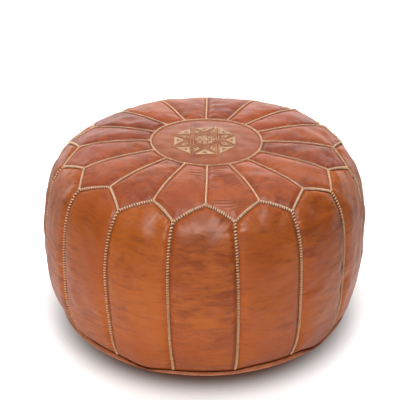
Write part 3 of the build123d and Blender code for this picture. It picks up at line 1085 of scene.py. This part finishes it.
def cell_strokes(out, along, angle):
    """Strokes of the cells of one eighth: a triangle, a kite, a diamond and a ray."""
    base = BAND_OFFSET - CELL_INSET
    low = out * (APOTHEM - 0.2 * MM)
    tip = out * (APOTHEM - base)
    yield satin_border([low - along * base, low + along * base, tip], CELL_BORDER)
    corner = angle + pi / 8
    inner = polar(BAND_OFFSET / cos(pi / 8) + KITE_INSET[0], corner)
    outer = polar(APOTHEM / cos(pi / 8) - KITE_INSET[1], corner)
    waist = polar(0.62 * APOTHEM + 2.5 * MM, corner)
    wing = polar(KITE_WING, corner + pi / 2)
    yield satin_border([inner, waist - wing, outer, waist + wing], KITE_BORDER)
    spot = polar(DIAMOND_RADIUS, angle)
    side, step = along * DIAMOND_SIZE[0], out * DIAMOND_SIZE[1]
    yield satin_border([spot - step, spot + side, spot + step, spot - side], DIAMOND_BORDER)
    start, end, half_width = HEART_RAY
    yield satin_line(polar(start, corner), polar(end, corner), half_width)


def rosette_strokes():
    """Strokes of the bands and of the cream cells, as pairs of plan points."""
    bands, cells, heart = [], [], []
    for k in range(8):
        angle = k * pi / 4
        out, along = polar(1, angle), polar(1, angle + pi / 2)
        bands += band_strokes(out, along)
        cells += cell_strokes(out, along, angle)
        heart.append(polar(HEART_RADIUS, angle + pi / 8))
    bands.append(satin_border(heart, HEART_BORDER))
    return np.concatenate(bands), np.concatenate(cells)


def build_embroidery():
    """Satin strokes laid on the medallion's leather."""
    disc = bpy.data.objects["medallion_disc_skin"]
    tree = BVHTree.FromObject(disc, bpy.context.evaluated_depsgraph_get())
    shares = np.linspace(0, 1, 5)
    heights = SATIN_RISE * np.sin(pi * shares) ** 0.7 - SATIN_DIP
    bands, cells = rosette_strokes()
    pieces = (
        ("rosette_bands", bands, "band_thread"),
        ("rosette_cells", cells, "embroidery_thread"),
    )
    for name, strokes, finish in pieces:
        paths = np.zeros((len(strokes), len(shares), 3))
        paths[..., :2] = strokes[:, :1] + (strokes[:, 1:] - strokes[:, :1]) * shares[:, None]
        for stroke in paths:
            for point, height in zip(stroke, heights):
                hit = tree.ray_cast(Vector((point[0], point[1], 1.0)), Vector((0, 0, -1)))[0]
                point[2] = hit.z + height
        vertices, faces, ply = tubes(paths, SATIN_RADIUS, sides=5)
        node = "medallion_embroidery"
        add_piece(name, node, vertices, faces, finish, "embroidery_thread", ply=ply)


# --- Base -------------------------------------------------------------------------------------

CHANNEL_LENGTH = ZIP_HIGH.x + 0.1 * MM  # half lengths and widths of the zip's channel
CHANNEL_WIDTH = ZIP_HIGH.y + 0.1 * MM
FLOOR_RADIUS = LIP_RADIUS + 1.0 * MM - LIP_ROLL
BASE_ROWS = {"wall": 5, "fold": 6, "floor": 42, "lip": 16}
# how far the leather rises off the floor near the lip, further in, and where the halves meet
GATHER_RISE, FLOOR_RISE, MEETING_RISE = 0.5 * MM, 0.7 * MM, 1.6 * MM
END_TURN = 0.1  # angle that the channel's short end spreads to at the lip
END_STEPS = 6  # places along the channel's short end, and along its long side
LONG_STEPS = 150


def base_grid():
    """Outside of the rear half of the base: channel wall, fold, floor and rolled lip."""
    ends = np.linspace(0, 1, END_STEPS, endpoint=False)
    longs = np.linspace(-1, 1, LONG_STEPS)
    zeros, ones = np.zeros(END_STEPS), np.ones(END_STEPS)
    end_y = EDGE_GAP + ends * (CHANNEL_WIDTH - EDGE_GAP)
    x = np.r_[ones, -longs, -ones] * CHANNEL_LENGTH
    y = np.r_[end_y, np.full(LONG_STEPS, CHANNEL_WIDTH), end_y[::-1]]
    end_angle = ends * END_TURN
    angle = np.r_[end_angle, np.arccos(-longs * cos(END_TURN)), pi - end_angle[::-1]]
    away = np.stack([np.r_[ones, longs * 0, -ones], np.r_[zeros, longs * 0 + 1, zeros]], -1)
    # the fold turns each corner in two steps
    away[END_STEPS - 1 : END_STEPS + 1] = (0.8, 0.6), (0.6, 0.8)
    away[-END_STEPS - 1 : -END_STEPS + 1] = (-0.6, 0.8), (-0.8, 0.6)
    edge = np.stack([x, y], -1)
    rim = FLOOR_RADIUS * np.stack([np.cos(angle), np.sin(angle)], -1)
    rim[:, 1] = np.maximum(rim[:, 1], EDGE_GAP)
    start = edge + away * FOLD_RADIUS
    # rows of plan points with their height
    walls = np.linspace(FLANGE_TOP, FOLD_RADIUS, BASE_ROWS["wall"])
    rows = [(edge, height) for height in walls]
    for turn in np.linspace(0, pi / 2, BASE_ROWS["fold"])[1:]:
        rows.append((edge + away * FOLD_RADIUS * (1 - cos(turn)), FOLD_RADIUS * (1 - sin(turn))))
    for share in np.linspace(0, 1, BASE_ROWS["floor"])[1:]:
        rows.append((start + (rim - start) * share, 0.0))
    for turn in np.linspace(0, LIP_SWEEP, BASE_ROWS["lip"])[1:] - pi / 2:
        rows.append((rim + unit(rim) * LIP_ROLL * cos(turn), LIP_ROLL * (1 + sin(turn))))
    return np.array([np.column_stack([plan, 0 * plan[:, 0] + height]) for plan, height in rows])


def settled_base(grid):
    """The base's grid with its leather uneven on the floor and its lip closed on the foot."""
    radius = np.hypot(grid[..., 0], grid[..., 1])
    angle = np.arctan2(grid[..., 1], grid[..., 0])
    floor_share = smoothstep(CHANNEL_WIDTH, 0.4 * FLOOR_RADIUS, radius)
    near_lip = smoothstep(0.72 * FLOOR_RADIUS, LIP_RADIUS, radius)
    gathers = Waves(SEED + 60, 1, 0.02, 0.07, 14)(angle[..., None])
    waves = Waves(SEED + 61, 3, 0.05, 0.18)(grid)
    rise = GATHER_RISE * (1 + gathers) * near_lip
    rise = rise + FLOOR_RISE * (1 + waves) * floor_share * (1 - near_lip)
    from_meeting = np.maximum(grid[..., 1], 0)
    rise = np.maximum(rise, 0) + MEETING_RISE * np.exp(-from_meeting / (2.5 * MM))
    grid[..., 2] += rise * smoothstep(6 * MM, 0, grid[..., 2])
    in_lip = near_lip * smoothstep(1 * MM, LIP_ROLL, grid[..., 2])
    grid[..., 2] *= 1 + in_lip * ((FOOT + LIP_OVERLAP) / (LIP_ROLL * 2) - 1)
    return grid


def build_base():
    """Two half discs of leather with the zip's channel between them and a lip at the rim."""
    grid = settled_base(base_grid())
    rows, columns, _ = grid.shape
    normals = unit(np.cross(np.gradient(grid, axis=1), np.gradient(grid, axis=0)))
    if normals[rows // 5, columns // 2, 2] > 0:
        normals = -normals
    inner = grid - normals * BASE_LEATHER
    length = np.cumsum(np.linalg.norm(np.diff(grid, axis=0, prepend=grid[:1]), axis=-1), axis=0)
    seam = np.minimum(length[-1] - length + 4 * MM, 30 * MM)
    faces = [block[:, ::-1] for block in slab_faces(rows, columns)]
    for node, way in (("base_rear", 1), ("base_front", -1)):
        sheets = [handmade(sheet * (way, way, 1)).reshape(-1, 3) for sheet in (grid, inner)]
        add_piece(
            f"{node}_skin",
            node,
            np.concatenate(sheets),
            faces,
            "base_leather",
            seam=np.tile(seam.ravel(), 2),
            tone=np.zeros(2 * seam.size),
        )


def running_stitches(name, node, points, normals, radius):
    """Short raised stitches along a line of places, each dipping into the cloth at both ends."""
    along = unit(np.gradient(points, axis=0))
    shares = np.linspace(-1, 1, 5)
    pitch = np.linalg.norm(points[1] - points[0])
    step = along[:, None, :] * (shares * 0.36 * pitch)[None, :, None]
    height = normals[:, None, :] * (radius * (0.9 - 1.6 * shares**2))[None, :, None]
    vertices, faces, ply = tubes(points[:, None, :] + step + height, radius, sides=6)
    add_piece(name, node, vertices, faces, "waxed_thread", ply=ply)


# --- Zip --------------------------------------------------------------------------------------

TAPE_POINTS = (15, 480)  # across and along
TAPE_RIB = 1.5 * MM  # pitch of the woven ribs, which slant from the tape's middle
TAPE_RIB_DEPTH = 0.16 * MM
TAPE_CORD = 0.35 * MM  # swell of the tape's edge at the teeth
TAPE_INSET = 0.15 * MM
ZIP_STITCH = 3.4 * MM
ZIP_STITCH_INSET = 0.6 * MM
ZIP_THREAD = 0.5 * MM
BRASS_PIECES = ("zip_teeth_front", "zip_teeth_rear", "zip_end_stops", "zip_slider", "zip_pull")


def build_zip():
    """Woven tapes and their running stitches; the brass parts are the CAD's own."""
    low, high = ZIP_LOW, ZIP_HIGH
    across, along = TAPE_POINTS
    y, x = np.meshgrid(
        np.linspace(low.y, high.y, across), np.linspace(low.x, high.x, along), indexing="ij"
    )
    slant = np.abs(y - (low.y + high.y) / 2) * 0.8
    rib = np.abs((x + slant) / TAPE_RIB % 1 - 0.5)
    cord = np.exp(-(((y - low.y) / (0.8 * MM)) ** 2))
    relief = TAPE_RIB_DEPTH * rib + TAPE_CORD * cord
    upper = np.stack([x, y, high.z - TAPE_INSET + relief * 0.6], -1).reshape(-1, 3)
    lower = np.stack([x, y, low.z + TAPE_INSET - relief * 0.6], -1).reshape(-1, 3)
    vertices = np.concatenate([upper, lower])
    faces = [block[:, ::-1] for block in slab_faces(across, along)]
    for node, way in (("zip_tape_rear", 1), ("zip_tape_front", -1)):
        add_piece(f"{node}_weave", node, vertices * (way, way, 1), faces, "zip_tape")
    low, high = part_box("zip_stitching")
    places = np.arange(low.x + 3 * MM, high.x - 3 * MM, ZIP_STITCH)
    rows = (low.y + ZIP_STITCH_INSET, high.y - ZIP_STITCH_INSET)
    points = np.array([(x, y, high.z) for y in rows for x in places])
    down = np.tile((0.0, 0.0, -1.0), (len(points), 1))
    running_stitches("zip_running_stitches", "zip_stitching", points, down, ZIP_THREAD)
    for node in BRASS_PIECES:
        brass = frame["nodes"][node]
        brass.data.materials.clear()
        brass.data.materials.append(MATERIALS["zip_brass"])


# --- Inside -----------------------------------------------------------------------------------

GROOVE_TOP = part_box("zip_slider")[1].z + 2.5 * MM  # the liner clears the zip below this
LINER_BOTTOM = 4.2 * MM
STUFFING_BOTTOM = 6 * MM
LINER_GATHER = 0.5 * MM
STUFFING_LUMP = 1.6 * MM
STUFFING_FLUFF = 0.4 * MM
BASE_SEAM_INSET = 7.2 * MM
BASE_STITCHES = 320
BASE_THREAD = 0.55 * MM


def bag_grid(depth, bottom, relief, rows=120, columns=192):
    """Closed bag under the cover: from the crown down the sides and across the underside."""
    share = np.linspace(0.9995, 0, rows)
    angle = np.linspace(0, 2 * pi, columns, endpoint=False)
    angles, shares = np.meshgrid(angle, share)
    points, normals = surface(shares, angles, -depth)
    points = points - normals * (relief(points) * smoothstep(0.9995, 0.9, shares))[..., None]
    foot = float(np.hypot(*surface(np.array([0.0]), 0.0, -depth)[0][0, :2]))
    radii, turns = np.meshgrid(np.linspace(foot - 8 * MM, 0.3 * MM, 46), angle, indexing="ij")
    under = around(radii, turns, bottom)
    x, y = np.abs(under[..., 0]), np.abs(under[..., 1])
    over_zip = smoothstep(CHANNEL_WIDTH + 9 * MM, CHANNEL_WIDTH + 4 * MM, y)
    over_zip = over_zip * smoothstep(CHANNEL_LENGTH + 10 * MM, CHANNEL_LENGTH + 4 * MM, x)
    under[..., 2] += (GROOVE_TOP - bottom + depth - LINER_DEPTH) * over_zip
    return np.concatenate([points, under])


def bag_faces(rows, columns, start=0):
    """Faces of a bag's grid, with a cap over each of its two small openings."""
    caps = np.stack([np.arange(columns), (rows - 1) * columns + np.arange(columns)[::-1]])
    return [grid_faces(rows, columns, closed=True, start=start)[:, ::-1], caps + start]


def build_inside():
    """The liner, the stuffing and the hidden stitches of the base seam."""
    gathers = Waves(SEED + 70, 3, 0.012, 0.05)
    lumps = Waves(SEED + 71, 3, 0.03, 0.12)
    fluff = Waves(SEED + 72, 3, 0.008, 0.02)

    def gathered(points):
        return LINER_GATHER * (1 + gathers(points))

    def lumpy(points):
        return STUFFING_LUMP * (1 + lumps(points)) + STUFFING_FLUFF * fluff(points)

    sheets = [
        bag_grid(LINER_DEPTH + depth, LINER_BOTTOM + depth, gathered)
        for depth in (0, LINER_THICKNESS)
    ]
    rows, columns, _ = sheets[0].shape
    hollow = [block[:, ::-1] for block in bag_faces(rows, columns, rows * columns)]
    vertices = handmade(np.concatenate([sheet.reshape(-1, 3) for sheet in sheets]))
    faces = bag_faces(rows, columns) + hollow
    add_piece("liner_bag", "inner_liner", vertices, faces, "liner_cotton")
    core = bag_grid(STUFFING_DEPTH, STUFFING_BOTTOM, lumpy, rows=150, columns=256)
    rows, columns, _ = core.shape
    vertices = handmade(core.reshape(-1, 3))
    add_piece("stuffing_fill", "stuffing", vertices, bag_faces(rows, columns), "stuffing_cotton")
    foot = surface(np.array([0.0]), 0.0)[0][0, 0] - BASE_SEAM_INSET
    ring = np.linspace(0, 2 * pi, BASE_STITCHES, endpoint=False)
    places = handmade(around(foot, ring, FOOT + 1.5 * MM))
    inward = -around(1, ring, 0)
    running_stitches("base_seam_stitches", "base_seam_thread", places, inward, BASE_THREAD)


# --- Camera, light and floor ------------------------------------------------------------------

SKY_STRENGTH = 0.10
WALL_SPAN = (0.12, 0.66)  # sines of elevation between which the wall's reflection fades
WALL_SHINE = 3.2
GLOW = 0.70  # the floor's own light, none near the pouf
GLOW_CENTRE = (0.0, -0.05, 0.0)  # the dark patch reaches further in front
GLOW_RADII = (0.200, 0.275)
BOUNCE = 0.65  # light of the floor near the pouf in reflections
BOUNCE_RADII = (0.36, 0.52)
CONTACT_RADII = (0.247, 0.315)  # painted contact shadow: the floor's colour darkens towards the pouf between these radii
CONTACT_SHADE = (0.19, 0.115, 0.08, 1)
WALL_BEHIND = (0.35, 0.80)  # how far towards +Y the wall's reflection begins and is full
FLOOR_DARK = (0.90, 0.90, 0.90, 1)
FLOOR_LIGHT = (0.93, 0.93, 0.93, 1)
FLOOR_RINGS = (0.6, 3.0, 12.0)
FLOOR_SPOKES = 96
FLOOR_GAP = 0.3 * MM
CAMERA_ELEVATION = radians(28.6)
CAMERA_DISTANCE = 7.0 * WIDEST
CAMERA_TARGET = (0.0, 0.0, 0.545 * WIDEST)
CAMERA_LENS = 100.3
AIM_RIGHT = radians(-0.27)  # the camera points a little left of and above the pouf's middle
AIM_UP = radians(0.92)


def build_camera():
    """Camera that matches the photo's view."""
    data = bpy.data.cameras.new("camera")
    data.lens = CAMERA_LENS
    data.sensor_width = 36
    camera = bpy.data.objects.new("camera", data)
    bpy.context.scene.collection.objects.link(camera)
    back = Vector((0, -cos(CAMERA_ELEVATION), sin(CAMERA_ELEVATION)))
    camera.location = Vector(CAMERA_TARGET) + back * CAMERA_DISTANCE
    camera.rotation_euler = (pi / 2 - CAMERA_ELEVATION + AIM_UP, 0, -AIM_RIGHT)
    bpy.context.scene.camera = camera


# soft lights: place, size, power, and whether they show in reflections and on matt surfaces
LIGHTS = {
    "overhead": ((0.0, 1.0, 2.75), (2.0, 1.5), 79, False, True),
    "sheen": ((0.0, -1.5, 2.7), (0.9, 0.7), 58, True, False),
    "fill": ((-0.7, -3.4, 0.7), (3.6, 0.9), 70, False, True),
    "under": ((0.0, -0.9, -1.6), (1.6, 1.6), 14, True, True),
}


def area_light(name, place, size, power, glossy, diffuse):
    """Light at a place, aimed at the pouf's middle."""
    data = bpy.data.lights.new(name, "AREA")
    data.shape = "RECTANGLE"
    data.size, data.size_y = size
    data.energy = power
    lamp = bpy.data.objects.new(name, data)
    bpy.context.scene.collection.objects.link(lamp)
    lamp.location = place
    lamp.visible_glossy = glossy
    lamp.visible_diffuse = diffuse
    aim = Vector((0, 0, CROWN / 2)) - Vector(place)
    lamp.rotation_euler = aim.to_track_quat("-Z", "Y").to_euler()
    return lamp


def studio_world():
    """Dim soft light from everywhere, and in reflections also the pale wall behind."""
    world = bpy.data.worlds.new("studio")
    world.use_nodes = True
    make = Graph(world.node_tree)
    way = make.node("ShaderNodeTexCoord").outputs["Generated"]
    _, behind, up = make.node("ShaderNodeSeparateXYZ", {"Vector": way}).outputs
    wall = make.span(up, *WALL_SPAN, WALL_SHINE, 0.0, kind="LINEAR")
    behind = make.span(behind, *WALL_BEHIND, kind="LINEAR")
    shine = make.math("MULTIPLY_ADD", wall, behind, SKY_STRENGTH)
    glossy = make.node("ShaderNodeLightPath").outputs["Is Glossy Ray"]
    level = make.node("ShaderNodeMix", {"Factor": glossy, "A": SKY_STRENGTH, "B": shine})
    sky = world.node_tree.nodes["Background"]
    sky.inputs["Color"].default_value = (1.0, 1.0, 1.0, 1.0)
    make.feed(sky.inputs["Strength"], level.outputs["Result"])
    return world


def floor_material():
    """White floor with a painted contact shadow at the pouf's foot, and clear when seen from below.
    """
    make = Shader("pale_floor")
    mottle = make.noise(3.0, 2.0)
    radius = make.length(make.place)
    colour = make.mix(mottle, FLOOR_DARK, FLOOR_LIGHT)
    # painted contact shadow: the colour darkens towards the pouf
    colour = make.mix(make.span(radius, *CONTACT_RADII), CONTACT_SHADE, colour)
    ray = make.node("ShaderNodeLightPath")
    glow = make.span(make.length(make.place, GLOW_CENTRE), *GLOW_RADII, 0.0, GLOW)
    bounce = make.span(radius, *BOUNCE_RADII, BOUNCE, 0.0)
    light = make.weigh(
        (glow, ray.outputs["Is Camera Ray"]), (bounce, ray.outputs["Is Glossy Ray"])
    )
    bump = make.bump(mottle, 0.02, 0.2 * MM)
    make.finish(colour, 0.9, bump, Emission_Color=(1, 1, 1, 1), Emission_Strength=light)
    behind = make.node("ShaderNodeNewGeometry").outputs["Backfacing"]
    clear = make.node("ShaderNodeBsdfTransparent").outputs[0]
    seen = make.node("ShaderNodeMixShader", enumerate((behind, make.bsdf.outputs[0], clear)))
    make.feed(make.tree.nodes["Material Output"].inputs["Surface"], seen.outputs[0])
    return make.material


def floor_disc():
    """Vertices and faces of a wide round floor just under the pouf."""
    turn = np.linspace(0, 2 * pi, FLOOR_SPOKES, endpoint=False)
    rings = [around(radius, turn, -FLOOR_GAP) for radius in FLOOR_RINGS]
    vertices = np.vstack([(0, 0, -FLOOR_GAP), *rings])
    spokes = np.arange(FLOOR_SPOKES)
    fan = np.stack([0 * spokes, spokes + 1, (spokes + 1) % FLOOR_SPOKES + 1], axis=-1)
    return vertices, [fan, grid_faces(len(FLOOR_RINGS), FLOOR_SPOKES, True, 1)[:, ::-1]]


def build_stage():
    """Studio: pale surroundings, white floor and soft lights."""
    scene = bpy.context.scene
    scene.view_settings.view_transform = "Standard"
    scene.world = studio_world()
    floor = new_object("floor", *floor_disc(), floor_material(), closed=False)
    lamps = {name: area_light(name, *settings) for name, settings in LIGHTS.items()}
    # the light under the floor falls on the underside only
    lit = bpy.data.collections.new("underside")
    for piece in bpy.data.objects:
        if piece.type == "MESH" and piece.name.startswith(("base_", "zip_")):
            lit.objects.link(piece)
    lamps["under"].light_linking.receiver_collection = lit
    lamps["under"].light_linking.blocker_collection = lit


build_cover()
build_seams()
build_embroidery()
build_base()
build_zip()
build_inside()
build_camera()
build_stage()
